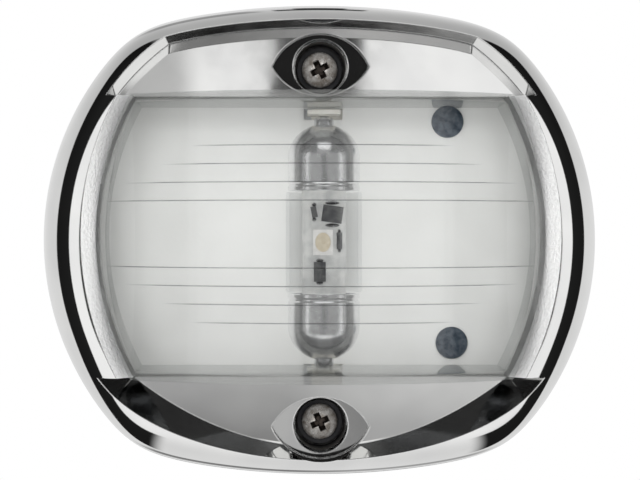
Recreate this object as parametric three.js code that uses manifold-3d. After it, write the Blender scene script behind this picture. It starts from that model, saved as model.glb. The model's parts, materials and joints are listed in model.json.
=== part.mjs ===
// Surface-mounted stern navigation light with a polished stainless cover.
// Millimetres, +Z up. The hull is the plane y = 0 and the light faces -Y.
// "Depth" always means distance out from the hull, so a depth d lies at y = -d.

import * as THREE from 'three';
import { mergeVertices } from 'three/addons/utils/BufferGeometryUtils.js';
import Module from 'manifold-3d';

// ---- Driving dimensions ----

const BODY = { width: 80, height: 68.2, capArc: 110, crisp: 40, rimCrisp: 14, rimFlat: 6.4 };
const SHELL = {
  foot: 1.8, waist: 9, shoulder: 17, rim: 26,
  waistInset: 0.5, shoulderInset: 1.5, rimInset: 7.1,
};
const CAVITY = { wall: 2.2, draft: 1.1, shelf: 16 };
const OPENING = { halfWidth: 30.9, halfHeight: 19.3, sideArc: 39, z: 0.55, seam: 23, bevel: 1.8 };
const LEDGE = { z: 25, tilt: 9, height: 20 };
const UPPER_LEDGE = { depth: 19, inset: 4.4, radius: 34.2, draft: 8 };
const LOWER_LEDGE = {
  depth: 20.3,
  foot: { depth: 20, radius: 34, end: 28.8 },
  lip: { depth: 24, radius: 44, end: 30.1 },
};
const EYE = { halfWidth: 6.8, outer: 4.6, inner: 4.1, depth: 17.8 };
const BORE = { radius: 3.5, floor: 9.5, chamfer: 0.35, bossRadius: 4.9, bossFoot: 7, clearance: 1.7 };
const SCREW = {
  head: 2.55, headHeight: 2, shank: 1.3, seat: 10.6, point: 4.3,
  cross: 0.8, crossDepth: 1.2,
};
const INSERT = { hole: 1.6, tail: 2.2, back: 2.4, radius: 4, groove: 3.6, front: 6.7 };
const SCREWS = [
  { name: 'upper', z: 24.2, turn: 28 },
  { name: 'lower', z: -25.8, turn: 24 },
];

const LENS = {
  front: 41.6, arc: 35.9, back: 13.2, gap: 0.3,
  flange: 1.8, flangeGrow: 2.2, wall: 1.5, pane: 2.5,
};
const FRESNEL = { z: 0.95, half: 4.45, pitch: 2.42, zones: 4, rise: 0.9 };

const GASKET = { thickness: 1.5, inset: 0.4 };
const BASE = { back: 1.8, step: 2.6, front: 4, flangeInset: 2.7, inset: 3.9 };
const REFLECTOR = { back: 4.2, front: 5.2, grow: 2.5 };
const HULL_HOLES = [[-20, 23.5], [20, -23.5]];
const HULL_HOLE = { radius: 2.2, sink: 1.4, sinkGrow: 1.6 };
const CABLE = {
  x: 11.5, z: -25.6, hole: 3, wire: 0.9, wireX: 1.3,
  body: 2.7, back: 0.2, flange: 4, flangeDepth: 0.8,
};

const BULB = { x: 0.6, depth: 10.9, z: -0.3, half: 18, glass: 5.4, glassWall: 0.5, glassHalf: 7.1 };
const CAP = {
  radius: 5.1, bore: 4.6, mouth: 7.3, boreEnd: 11.5,
  shoulder: 12, noseStart: 16.6, nose: 1.4,
};
const BOARD = { width: 6.2, half: 9.8, thickness: 1 };
const LED = { x: -0.15, z: 0, width: 2.8, height: 3.6, rise: 1.1, turn: 0 };
const WINDOW = { radius: 1.2, stretch: 1.25, recess: 0.4, fill: 0.24 };
const COMPONENTS = [
  { name: 'regulator', x: 1.2, z: 4, width: 2.9, height: 2.4, rise: 1, turn: 8 },
  { name: 'diode', x: -1.4, z: 4.3, width: 0.8, height: 1.6, rise: 0.8, turn: -12 },
  { name: 'resistor', x: 2.2, z: 0.2, width: 0.8, height: 2.4, rise: 0.5, turn: 0 },
  { name: 'capacitor', x: -0.6, z: -4.2, width: 1.7, height: 2.8, rise: 0.9, turn: 0 },
];
const STRIP = {
  back: 3.4, front: 3.9, width: 3.6, hole: 0.9,
  blade: 0.6, bladeWidth: 4.6, bladeFront: 12.6,
};
const RIVET = { head: 2.35, shank: 1.2, front: 6.1, back: 1.9 };
const TERMINAL = { back: 1.9, front: 2.5, width: 2.8, hole: 0.7 };
const CONTACTS = [
  { name: 'upper', z: BULB.z + BULB.half + 0.5, rivet: [18.6, 17.1], tail: [25.5, 9] },
  { name: 'lower', z: BULB.z - BULB.half - 0.5, rivet: [19.2, -14.9], tail: [25.5, -7] },
];
const FIT = 0.3;
const GAP = 0.1;

// ---- Solids ----

const wasm = await Module();
wasm.setup();

function toSolid(geometry) {
  const plain = geometry.clone();
  plain.deleteAttribute('normal');
  plain.deleteAttribute('uv');
  const merged = mergeVertices(plain, 1e-5);
  return new wasm.Manifold(new wasm.Mesh({
    numProp: 3,
    vertProperties: new Float32Array(merged.attributes.position.array),
    triVerts: new Uint32Array(merged.index.array),
  }));
}

function toGeometry(solid) {
  const mesh = solid.getMesh();
  const geometry = new THREE.BufferGeometry();
  geometry.setAttribute('position', new THREE.BufferAttribute(mesh.vertProperties, 3));
  geometry.setIndex(new THREE.BufferAttribute(mesh.triVerts, 1));
  geometry.computeVertexNormals();
  return geometry;
}

function combine(method, first, others) {
  return toGeometry(others.reduce((solid, other) => solid[method](toSolid(other)), toSolid(first)));
}

const join = (first, ...others) => combine('add', first, others);
const cut = (first, ...others) => combine('subtract', first, others);
const common = (first, ...others) => combine('intersect', first, others);

// ---- Shape helpers ----

const radians = THREE.MathUtils.degToRad;

// A flat shape drawn in X and Z, made solid between two depths
function slab(shape, from, to, segments = 6) {
  const options = { depth: to - from, bevelEnabled: false, curveSegments: segments };
  return new THREE.ExtrudeGeometry(shape, options).translate(0, 0, from).rotateX(Math.PI / 2);
}

// A round rod along the depth axis, with its radius at each end
function rod(x, z, from, to, radius, frontRadius = radius, segments = 20) {
  const geometry = new THREE.CylinderGeometry(radius, frontRadius, to - from, segments);
  return geometry.translate(x, -(from + to) / 2, z);
}

// A block between two depths, centred on x and z
function block(x, z, width, height, from, to) {
  return new THREE.BoxGeometry(width, to - from, height).translate(x, -(from + to) / 2, z);
}

function latheAboutDepth(profile, segments) {
  const points = profile.map(([radius, depth]) => new THREE.Vector2(radius, depth));
  return new THREE.LatheGeometry(points, segments).rotateX(Math.PI);
}

function latheAboutZ(profile, segments) {
  const points = profile.map(([radius, z]) => new THREE.Vector2(radius, z));
  return new THREE.LatheGeometry(points, segments).rotateX(Math.PI / 2);
}

function discShape(x, z, radius) {
  const shape = new THREE.Shape();
  shape.absarc(x, z, radius, 0, 2 * Math.PI);
  return shape;
}

// A strip with round ends between two points
function stripShape([x1, z1], [x2, z2], width) {
  const angle = Math.atan2(z2 - z1, x2 - x1);
  const shape = new THREE.Shape();
  shape.absarc(x2, z2, width / 2, angle - Math.PI / 2, angle + Math.PI / 2);
  shape.absarc(x1, z1, width / 2, angle + Math.PI / 2, angle + 1.5 * Math.PI);
  shape.closePath();
  return shape;
}

// Body outline: a circle cut off by a shallow arc above and below. Toward the rim its corners
// soften (a lower power) and its sides flatten (their centre moves across the middle).
function outlineRadius(angle, inset) {
  const share = inset / SHELL.rimInset;
  const flat = BODY.rimFlat * share;
  const crisp = THREE.MathUtils.lerp(BODY.crisp, BODY.rimCrisp, share);
  const rise = Math.abs(Math.sin(angle));
  const run = Math.abs(Math.cos(angle));
  const sideArc = BODY.width / 2 - inset + flat;
  const side = Math.sqrt(sideArc ** 2 - (flat * rise) ** 2) - flat * run;
  const capCentre = BODY.capArc - BODY.height / 2;
  const cap = Math.sqrt((BODY.capArc - inset) ** 2 - (capCentre * run) ** 2) - capCentre * rise;
  return (side ** -crisp + cap ** -crisp) ** (-1 / crisp);
}

function outlineRing(inset, depth, count = 60) {
  return Array.from({ length: count }, (_, step) => {
    const angle = (2 * Math.PI * step) / count;
    const radius = outlineRadius(angle, inset);
    return new THREE.Vector3(radius * Math.cos(angle), -depth, radius * Math.sin(angle));
  });
}

function outlineShape(inset, count = 60) {
  const points = outlineRing(inset, 0, count).map((point) => new THREE.Vector2(point.x, point.z));
  return new THREE.Shape(points);
}

function ring(outer, inner) {
  outer.holes.push(inner);
  return outer;
}

// Lens opening: straight above and below, bowed at the sides
function openingShape(grow) {
  const arc = OPENING.sideArc + grow;
  const centre = OPENING.sideArc - OPENING.halfWidth;
  const reach = Math.asin((OPENING.halfHeight + grow) / arc);
  const shape = new THREE.Shape();
  shape.absarc(-centre, OPENING.z, arc, -reach, reach);
  shape.absarc(centre, OPENING.z, arc, Math.PI - reach, Math.PI + reach);
  shape.closePath();
  return shape;
}

// A body that blends from one closed ring of points to the next, in order of depth
function ringLoft(rings) {
  const count = rings[0].length;
  const middle = (points) => points.reduce((sum, point) => sum.add(point), new THREE.Vector3())
    .divideScalar(count);
  const points = [...rings.flat(), middle(rings[0]), middle(rings.at(-1))];
  const backMiddle = points.length - 2;
  const frontMiddle = points.length - 1;
  const frontStart = (rings.length - 1) * count;
  const faces = [];
  for (let step = 0; step < count; step += 1) {
    const next = (step + 1) % count;
    for (let start = 0; start < frontStart; start += count) {
      faces.push(start + step, start + next, start + count + step);
      faces.push(start + next, start + count + next, start + count + step);
    }
    faces.push(backMiddle, next, step);
    faces.push(frontMiddle, frontStart + step, frontStart + next);
  }
  return new THREE.BufferGeometry().setFromPoints(points).setIndex(faces);
}

// ---- Cover ----

function shellOutside() {
  const bend = SHELL.rimInset - SHELL.shoulderInset;
  const rise = SHELL.rim - SHELL.shoulder;
  const rows = [[0, SHELL.foot], [SHELL.waistInset, SHELL.waist], [SHELL.shoulderInset, SHELL.shoulder]];
  const turns = 5;
  for (let turn = 1; turn <= turns; turn += 1) {
    const angle = (Math.PI / 2) * (turn / turns);
    const inset = SHELL.shoulderInset + bend * (1 - Math.cos(angle));
    rows.push([inset, SHELL.shoulder + rise * Math.sin(angle)]);
  }
  return ringLoft(rows.map(([inset, depth]) => outlineRing(inset, depth)));
}

function shellCavity() {
  return ringLoft([
    outlineRing(CAVITY.wall, 0),
    outlineRing(CAVITY.wall + CAVITY.draft, CAVITY.shelf),
  ]);
}

// Everything in front of a ledge's floor, which leans outward, and beyond the lens opening
function ledgeSpace(side, depth) {
  const space = block(0, 0, 2 * BODY.width, 2 * BODY.height, 0, BODY.width);
  space.rotateX(radians(-side * LEDGE.tilt)).translate(0, -depth, side * LEDGE.z);
  const inner = OPENING.z + side * (OPENING.halfHeight - BODY.height);
  return cut(space, block(0, inner, 2 * BODY.width, 2 * BODY.height, 0, BODY.width));
}

// The ledge above the lens: its steep wall follows the body's outline, rounded off at the corners
function upperLedge() {
  const { depth, inset, radius, draft } = UPPER_LEDGE;
  const back = depth - CAVITY.wall;
  const slope = Math.tan(radians(draft));
  const pocket = ringLoft([back, depth + LEDGE.height].map(
    (level) => outlineRing(inset - (level - depth) * slope, level),
  ));
  const front = back + LEDGE.height;
  const round = rod(0, 0, back, front, radius, radius + LEDGE.height * slope, 72);
  return common(pocket, round, ledgeSpace(1, depth));
}

// The ledge below the lens: its wall runs from a wide arc at the foot to a flatter one at the lip
function lowerLedge() {
  const { depth, foot, lip } = LOWER_LEDGE;
  const count = 72;
  const arcRing = (level) => {
    const share = (level - foot.depth) / (lip.depth - foot.depth);
    const radius = THREE.MathUtils.lerp(foot.radius, lip.radius, share);
    const centre = radius - THREE.MathUtils.lerp(foot.end, lip.end, share);
    return Array.from({ length: count }, (_, step) => {
      const angle = (2 * Math.PI * step) / count;
      return new THREE.Vector3(radius * Math.cos(angle), -level, centre + radius * Math.sin(angle));
    });
  };
  const wall = ringLoft([arcRing(depth - CAVITY.wall), arcRing(depth + LEDGE.height)]);
  return common(wall, ledgeSpace(-1, depth));
}

// The eye-shaped flat round each cover screw
function eyeShape(z) {
  const outward = Math.sign(z);
  const outerArc = (EYE.halfWidth ** 2 + EYE.outer ** 2) / (2 * EYE.outer);
  const innerArc = (EYE.halfWidth ** 2 + EYE.inner ** 2) / (2 * EYE.inner);
  const outerReach = Math.asin(EYE.halfWidth / outerArc);
  const innerReach = Math.asin(EYE.halfWidth / innerArc);
  const up = outward * Math.PI / 2;
  const shape = new THREE.Shape();
  const outerZ = z + outward * (EYE.outer - outerArc);
  const innerZ = z - outward * (EYE.inner - innerArc);
  shape.absarc(0, outerZ, outerArc, up - outerReach, up + outerReach);
  shape.absarc(0, innerZ, innerArc, -up - innerReach, -up + innerReach);
  shape.closePath();
  return shape;
}

function housing() {
  const bosses = SCREWS.map(({ z }) => rod(0, z, BORE.bossFoot, CAVITY.shelf + 0.5, BORE.bossRadius));
  const body = join(cut(shellOutside(), shellCavity(), upperLedge(), lowerLedge()), ...bosses);
  const bevelRing = (grow, depth) => openingShape(grow).getPoints(8)
    .map((point) => new THREE.Vector3(point.x, -depth, point.y));
  const climb = (SHELL.rim - OPENING.seam) / OPENING.bevel;
  const bevel = ringLoft([
    bevelRing(0, OPENING.seam),
    bevelRing(OPENING.bevel + 1, SHELL.rim + climb),
  ]);
  const rimRadius = BORE.radius + BORE.chamfer + GAP;
  const pockets = SCREWS.flatMap(({ z }) => [
    slab(eyeShape(z), EYE.depth, LENS.front, 7),
    rod(0, z, EYE.depth - BORE.chamfer, EYE.depth + GAP, BORE.radius, rimRadius, 24),
    rod(0, z, BORE.floor, LENS.front, BORE.radius, BORE.radius, 24),
    rod(0, z, BORE.bossFoot - 1, LENS.front, BORE.clearance),
  ]);
  return cut(body, slab(openingShape(0), 0, 2 * LENS.front, 8), bevel, ...pockets);
}

// Inner face of the pane: a thick middle band, with prism zones above and below it
function fresnelProfile() {
  const thin = LENS.arc - LENS.pane;
  const thick = thin - FRESNEL.rise;
  const upper = [];
  for (let share = 0; share <= 1; share += 0.25) {
    upper.push([thick + FRESNEL.rise * share ** 2, FRESNEL.half * share]);
  }
  for (let zone = 0; zone < FRESNEL.zones; zone += 1) {
    const start = FRESNEL.half + zone * FRESNEL.pitch;
    const end = zone === FRESNEL.zones - 1 ? start + 0.05 : start + FRESNEL.pitch;
    upper.push([thick + (zone === FRESNEL.zones - 1 ? FRESNEL.rise : 0), start + 0.02]);
    upper.push([thin, end]);
  }
  const lower = upper.slice(1).reverse().map(([radius, z]) => [radius, -z]);
  const reach = BODY.height / 2;
  const middle = [...lower, ...upper].map(([radius, z]) => [radius, FRESNEL.z + z]);
  return [[0, -reach], [thin, -reach], ...middle, [thin, reach], [0, reach]];
}

function lens() {
  const axisDepth = LENS.front - LENS.arc;
  const drum = latheAboutZ([
    [0, -BODY.height], [LENS.arc, -BODY.height], [LENS.arc, BODY.height], [0, BODY.height],
  ], 64).translate(0, -axisDepth, 0);
  const inside = latheAboutZ(fresnelProfile(), 40).translate(0, -axisDepth, 0);
  const hollow = common(slab(openingShape(-LENS.gap - LENS.wall), LENS.back - 1, 2 * LENS.front), inside);
  const notches = SCREWS.map(({ z }) => rod(0, z, 0, LENS.front, BORE.bossRadius + FIT));
  const flange = cut(slab(openingShape(LENS.flangeGrow), LENS.back, LENS.back + LENS.flange), ...notches);
  const dome = common(slab(openingShape(-LENS.gap), LENS.back, 2 * LENS.front, 8), drum);
  return cut(join(dome, flange), hollow);
}

function lensGasket() {
  const back = LENS.back + LENS.flange + GAP;
  const frame = slab(ring(openingShape(LENS.flangeGrow), openingShape(FIT)), back, CAVITY.shelf - GAP);
  return cut(frame, ...SCREWS.map(({ z }) => rod(0, z, 0, LENS.front, BORE.bossRadius + FIT)));
}

// Raised cross-head cover screw with a pointed end
function screw({ z, turn }) {
  const front = SCREW.seat + SCREW.headHeight;
  const body = latheAboutDepth([
    [0, SCREW.point],
    [SCREW.shank * 0.6, SCREW.point + 0.6],
    [SCREW.shank, SCREW.point + 1.8],
    [SCREW.shank, SCREW.seat],
    [SCREW.head, SCREW.seat],
    [SCREW.head, SCREW.seat + 0.7],
    [SCREW.head * 0.86, SCREW.seat + 1.35],
    [SCREW.head * 0.5, front - 0.16],
    [0, front],
  ], 20).translate(0, 0, z);
  const arms = [turn, turn + 90].map((angle) => {
    const arm = new THREE.BoxGeometry(SCREW.cross, 2 * SCREW.crossDepth, 1.3 * SCREW.head);
    return arm.rotateY(radians(angle)).translate(0, -front, z);
  });
  return cut(body, ...arms);
}

function screwSeal({ z }) {
  const outer = BORE.radius - FIT;
  const inner = SCREW.shank + FIT;
  const back = BORE.floor + GAP;
  const front = SCREW.seat - GAP;
  return latheAboutDepth([[inner, back], [outer, back], [outer, front], [inner, front], [inner, back]], 20)
    .translate(0, 0, z);
}

function coverSeal() {
  const shape = ring(outlineShape(CAVITY.wall + 2 * FIT), outlineShape(BASE.inset - 2 * GAP));
  return slab(shape, BASE.step + GAP, BASE.front - GAP);
}

// ---- Base ----

function hullGasket() {
  const shape = outlineShape(GASKET.inset);
  HULL_HOLES.forEach(([x, z]) => shape.holes.push(discShape(x, z, HULL_HOLE.radius)));
  shape.holes.push(discShape(CABLE.x, CABLE.z, CABLE.hole));
  return slab(shape, 0, GASKET.thickness, 10);
}

function basePlate() {
  const flange = slab(outlineShape(BASE.flangeInset), BASE.back, BASE.step);
  const plate = slab(outlineShape(BASE.inset), BASE.back, BASE.front);
  const holes = [
    ...SCREWS.map(({ z }) => rod(0, z, INSERT.back - GAP, LENS.front, INSERT.tail + GAP)),
    ...HULL_HOLES.map(([x, z]) => rod(x, z, 0, LENS.front, HULL_HOLE.radius)),
    ...HULL_HOLES.map(([x, z]) => rod(x, z, BASE.front - HULL_HOLE.sink, BASE.front + GAP, HULL_HOLE.radius,
      HULL_HOLE.radius + HULL_HOLE.sinkGrow)),
    rod(CABLE.x, CABLE.z, 0, LENS.front, CABLE.hole),
  ];
  const seats = CONTACTS.flatMap(({ z, rivet, tail }) => [
    slab(stripShape([BULB.x, z], rivet, STRIP.width + 2 * FIT), STRIP.back - GAP, BASE.front + 1, 4),
    block(BULB.x, z, STRIP.bladeWidth + 2 * FIT, STRIP.blade + 2 * FIT, STRIP.back - GAP, BASE.front + 1),
    slab(stripShape(rivet, tail, TERMINAL.width + 2 * FIT), 0, TERMINAL.front + GAP, 4),
    rod(...rivet, 0, LENS.front, RIVET.shank + FIT),
  ]);
  return cut(join(flange, plate), ...holes, ...seats);
}

// A brass nut with a pressed-in tail, which a cover screw threads into
function screwInsert({ z }) {
  const seat = BASE.front + GAP;
  const edge = INSERT.radius - INSERT.groove;
  const middle = (seat + INSERT.front) / 2;
  return latheAboutDepth([
    [INSERT.hole, INSERT.back], [INSERT.tail, INSERT.back], [INSERT.tail, seat], [INSERT.radius, seat],
    [INSERT.radius, middle - edge], [INSERT.groove, middle], [INSERT.radius, middle + edge],
    [INSERT.radius, INSERT.front], [INSERT.hole, INSERT.front], [INSERT.hole, INSERT.back],
  ], 24).translate(0, 0, z);
}

// Pale panel behind the bulb, which fills the lens from edge to edge
function reflector() {
  const plate = slab(openingShape(REFLECTOR.grow), REFLECTOR.back, REFLECTOR.front);
  const cuts = [
    ...SCREWS.map(({ z }) => rod(0, z, 0, LENS.front, INSERT.radius + FIT)),
    ...CONTACTS.map(({ z }) => block(BULB.x, z, STRIP.bladeWidth + 1, STRIP.blade + 1, 0, LENS.front)),
    ...CONTACTS.map(({ rivet }) => rod(...rivet, 0, LENS.front, RIVET.shank + FIT)),
  ];
  return cut(plate, ...cuts);
}

function cableGrommet() {
  const flangeBack = BASE.front + GAP;
  const edge = flangeBack + CABLE.flangeDepth;
  const front = edge + CABLE.flangeDepth;
  const body = latheAboutDepth([
    [0, CABLE.back], [CABLE.body, CABLE.back], [CABLE.body, flangeBack], [CABLE.flange, flangeBack],
    [CABLE.flange, edge], [CABLE.body, front], [0, front],
  ], 20).translate(CABLE.x, 0, CABLE.z);
  const wires = [-1, 1].map((side) => rod(CABLE.x + side * CABLE.wireX, CABLE.z, 0, 2 * front, CABLE.wire,
    CABLE.wire, 10));
  return cut(body, ...wires);
}

// A flat strip under the liner, with a sprung blade that holds one end of the bulb
function contact({ z, rivet }) {
  const strip = slab(stripShape([BULB.x, z], rivet, STRIP.width), STRIP.back, STRIP.front, 4);
  const blade = block(BULB.x, z, STRIP.bladeWidth, STRIP.blade, STRIP.back, STRIP.bladeFront);
  const tipHole = new THREE.CylinderGeometry(STRIP.hole, STRIP.hole, 4, 16).rotateX(Math.PI / 2)
    .translate(BULB.x, -BULB.depth, z);
  return cut(join(strip, blade), tipHole, rod(...rivet, 0, LENS.front, RIVET.shank + FIT));
}

function rivet({ rivet: [x, z] }) {
  const headBack = REFLECTOR.front + GAP;
  return latheAboutDepth([
    [0, RIVET.back], [RIVET.shank, RIVET.back], [RIVET.shank, headBack], [RIVET.head, headBack],
    [RIVET.head, RIVET.front - 0.2], [RIVET.head - 0.25, RIVET.front], [0, RIVET.front],
  ], 18).translate(x, 0, z);
}

function terminal({ rivet: point, tail }) {
  const strip = slab(stripShape(point, tail, TERMINAL.width), TERMINAL.back, TERMINAL.front, 4);
  const rivetHole = rod(...point, 0, LENS.front, RIVET.shank + FIT);
  return cut(strip, rivetHole, rod(...tail, 0, LENS.front, TERMINAL.hole));
}

// ---- Bulb, drawn about its own middle ----

function bulbGlass() {
  const inner = BULB.glass - BULB.glassWall;
  const end = BULB.glassHalf;
  const outer = BULB.glass;
  return latheAboutZ([[inner, -end], [outer, -end], [outer, end], [inner, end], [inner, -end]], 24);
}

function bulbCap(side) {
  const profile = [
    [0, CAP.boreEnd], [CAP.bore, CAP.boreEnd], [CAP.bore, CAP.mouth], [CAP.radius, CAP.mouth],
  ];
  const domeEnd = Math.acos(CAP.nose / CAP.radius);
  const domeHeight = (CAP.noseStart - CAP.shoulder) / Math.sin(domeEnd);
  for (let step = 0; step <= 4; step += 1) {
    const angle = (domeEnd * step) / 4;
    profile.push([CAP.radius * Math.cos(angle), CAP.shoulder + domeHeight * Math.sin(angle)]);
  }
  profile.push([CAP.nose, BULB.half - 0.5], [CAP.nose * 0.55, BULB.half], [0, BULB.half]);
  return latheAboutZ(profile, 20).rotateX(side > 0 ? 0 : Math.PI);
}

// A box on the front of the board, turned a little in its plane
function onBoard({ x, z, width, height, rise, turn }) {
  const back = BOARD.thickness / 2 + GAP;
  const geometry = new THREE.BoxGeometry(width, rise, height).rotateY(radians(turn));
  return geometry.translate(x, -back - rise / 2, z);
}

function ledPackage() {
  const front = BOARD.thickness / 2 + GAP + LED.rise;
  const window = rod(0, 0, front - WINDOW.recess, front + GAP, WINDOW.radius).scale(1, 1, WINDOW.stretch);
  return cut(onBoard(LED), window.translate(LED.x, 0, LED.z));
}

function ledPhosphor() {
  const back = BOARD.thickness / 2 + GAP + LED.rise - WINDOW.recess + GAP / 2;
  const disc = rod(0, 0, back, back + WINDOW.fill, WINDOW.radius - GAP);
  return disc.scale(1, 1, WINDOW.stretch).translate(LED.x, 0, LED.z);
}

// ---- Assembly ----

const finish = (color, roughness, metalness, extra = {}) => new THREE.MeshStandardMaterial({
  color, roughness, metalness, ...extra,
});

const MATERIALS = {
  stainless: finish(0xd8d8d6, 0.06, 1),
  screwSteel: finish(0xa39c92, 0.3, 1),
  clear: finish(0xe8ebec, 0.05, 0, { transparent: true, opacity: 0.35 }),
  rubber: finish(0x26262a, 0.8, 0),
  basePlastic: finish(0xc9cbcc, 0.5, 0),
  linerPlastic: finish(0xe4e5e3, 0.45, 0),
  brass: finish(0xb8a878, 0.35, 1),
  rivetSteel: finish(0x46525e, 0.45, 1),
  nickel: finish(0xb4b4b6, 0.22, 1),
  board: finish(0xe9e9e6, 0.5, 0),
  ledCase: finish(0xf4f3ee, 0.4, 0),
  phosphor: finish(0xdcc9a0, 0.5, 0),
  component: finish(0x3a3b3e, 0.4, 0),
};

const light = new THREE.Group();
const cover = new THREE.Group();
const base = new THREE.Group();
const bulb = new THREE.Group();
bulb.position.set(BULB.x, -BULB.depth, BULB.z);
light.add(base, cover, bulb);

function addPart(parent, name, geometry, material) {
  const mesh = new THREE.Mesh(geometry, material);
  mesh.name = name;
  parent.add(mesh);
}

addPart(base, 'hull_gasket', hullGasket(), MATERIALS.rubber);
addPart(base, 'base_plate', basePlate(), MATERIALS.basePlastic);
addPart(base, 'reflector', reflector(), MATERIALS.linerPlastic);
addPart(base, 'cover_seal', coverSeal(), MATERIALS.rubber);
addPart(base, 'cable_grommet', cableGrommet(), MATERIALS.rubber);
for (const spec of SCREWS) {
  addPart(base, `screw_insert_${spec.name}`, screwInsert(spec), MATERIALS.brass);
}
for (const spec of CONTACTS) {
  addPart(base, `contact_${spec.name}`, contact(spec), MATERIALS.brass);
  addPart(base, `rivet_${spec.name}`, rivet(spec), MATERIALS.rivetSteel);
  addPart(base, `terminal_${spec.name}`, terminal(spec), MATERIALS.brass);
}

addPart(cover, 'housing', housing(), MATERIALS.stainless);
addPart(cover, 'lens', lens(), MATERIALS.clear);
addPart(cover, 'lens_gasket', lensGasket(), MATERIALS.rubber);
for (const spec of SCREWS) {
  addPart(cover, `screw_${spec.name}`, screw(spec), MATERIALS.screwSteel);
  addPart(cover, `screw_seal_${spec.name}`, screwSeal(spec), MATERIALS.rubber);
}

addPart(bulb, 'bulb_glass', bulbGlass(), MATERIALS.clear);
addPart(bulb, 'bulb_cap_upper', bulbCap(1), MATERIALS.nickel);
addPart(bulb, 'bulb_cap_lower', bulbCap(-1), MATERIALS.nickel);
const board = new THREE.BoxGeometry(BOARD.width, BOARD.thickness, 2 * BOARD.half);
addPart(bulb, 'bulb_board', board, MATERIALS.board);
addPart(bulb, 'led_package', ledPackage(), MATERIALS.ledCase);
addPart(bulb, 'led_phosphor', ledPhosphor(), MATERIALS.phosphor);
for (const spec of COMPONENTS) {
  addPart(bulb, `board_${spec.name}`, onBoard(spec), MATERIALS.component);
}

export default light;
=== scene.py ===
import json
import math

import bmesh
import bpy
from mathutils import Matrix, Vector

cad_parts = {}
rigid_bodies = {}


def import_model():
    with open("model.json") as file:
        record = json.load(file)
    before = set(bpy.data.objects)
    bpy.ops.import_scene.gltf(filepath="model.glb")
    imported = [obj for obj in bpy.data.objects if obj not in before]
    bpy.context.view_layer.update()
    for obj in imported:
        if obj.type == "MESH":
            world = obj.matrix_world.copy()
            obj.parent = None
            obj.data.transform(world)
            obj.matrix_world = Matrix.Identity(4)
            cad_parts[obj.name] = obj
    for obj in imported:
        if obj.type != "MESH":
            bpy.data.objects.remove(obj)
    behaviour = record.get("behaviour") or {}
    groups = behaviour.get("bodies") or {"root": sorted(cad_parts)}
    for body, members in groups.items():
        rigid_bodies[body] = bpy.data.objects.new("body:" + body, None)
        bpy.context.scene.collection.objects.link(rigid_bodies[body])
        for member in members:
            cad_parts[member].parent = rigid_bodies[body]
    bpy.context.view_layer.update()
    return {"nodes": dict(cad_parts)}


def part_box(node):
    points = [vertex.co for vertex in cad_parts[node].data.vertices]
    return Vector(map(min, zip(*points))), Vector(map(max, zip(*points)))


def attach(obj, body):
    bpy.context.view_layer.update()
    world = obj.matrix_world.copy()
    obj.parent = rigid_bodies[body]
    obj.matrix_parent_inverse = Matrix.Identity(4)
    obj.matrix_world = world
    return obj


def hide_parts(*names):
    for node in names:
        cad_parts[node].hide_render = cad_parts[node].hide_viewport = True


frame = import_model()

# Looks of the navigation light: fine meshes, materials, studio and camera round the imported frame.

# ---- Dimensions, in millimetres. "Depth" is distance out from the hull, toward -Y. ----

MM = 0.001

# The outline: a circle cut off by a flat arc above and below, which meet it more softly at the rim.
BODY_WIDTH = 80.0
BODY_HEIGHT = 68.2
CAP_ARC = 110.0
CRISP_FOOT, CRISP_RIM = 40.0, 14.0
RIM_FLAT = 6.4

# The shell from the side: foot, drafted wall, shoulder and rim, and the hollow in it.
FOOT, SHOULDER, RIM = 1.8, 17.0, 26.0
SHOULDER_INSET, RIM_INSET = 1.5, 7.1
WALL, SHELF = 2.2, 16.0
FOOT_ROUND, WALL_CURVE, SHOULDER_SINE = 0.4, 1.27, 0.2514
CAVITY_TAPER, CAVITY_START = 1.1, 0.8

# The lens opening, and the bevel round it.
OPENING_HALF_WIDTH, OPENING_HALF_HEIGHT = 30.9, 19.3
OPENING_ARC, OPENING_Z = 39.0, 0.55
SEAM, BEVEL = 23.0, 1.8

# The ledges above and below the lens. The lower one's foot and lip are (depth, radius, end).
LEDGE_Z, LEDGE_TILT, LEDGE_HEIGHT = 25.0, 9.0, 20.0
UPPER_DEPTH, UPPER_INSET, UPPER_RADIUS, UPPER_DRAFT = 19.0, 4.4, 34.2, 8.0
LOWER_DEPTH = 20.3
LOWER_FOOT, LOWER_LIP = (20.0, 34.0, 28.8), (24.0, 44.0, 30.1)

# The eye-shaped flats round the screws, and the bores and bosses for them.
EYE_HALF_WIDTH, EYE_OUTER, EYE_INNER, EYE_DEPTH = 6.8, 4.6, 4.1, 17.8
BORE_RADIUS, BORE_FLOOR, BORE_CHAMFER = 3.5, 9.5, 0.35
BOSS_RADIUS, BOSS_BACK, BOSS_OVERLAP = 4.9, 7.0, 0.5
CLEARANCE, CLEARANCE_START = 1.7, 5.0

# The lens, with its steps: the first one's distance from the middle, then one at each pitch.
LENS_ARC, LENS_PANE, LENS_WALL, LENS_GAP = 35.9, 2.5, 1.0, 0.12
LENS_BACK, LENS_FLANGE, FLANGE_GROW = 13.2, 1.8, 2.2
LENS_COLUMNS, LENS_ROWS, LENS_ROUND, NOTCH_GAP = 96, 40, 0.5, 0.15
FRESNEL_Z, FRESNEL_HALF, FRESNEL_PITCH = 0.95, 4.45, 2.42
FRESNEL_REACH = (30.5, 26.5, 21.5, 17.5)
GROOVE_HALF, GROOVE_DEEP, GROOVE_FADE = 0.11, 0.3, 5.0

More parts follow.
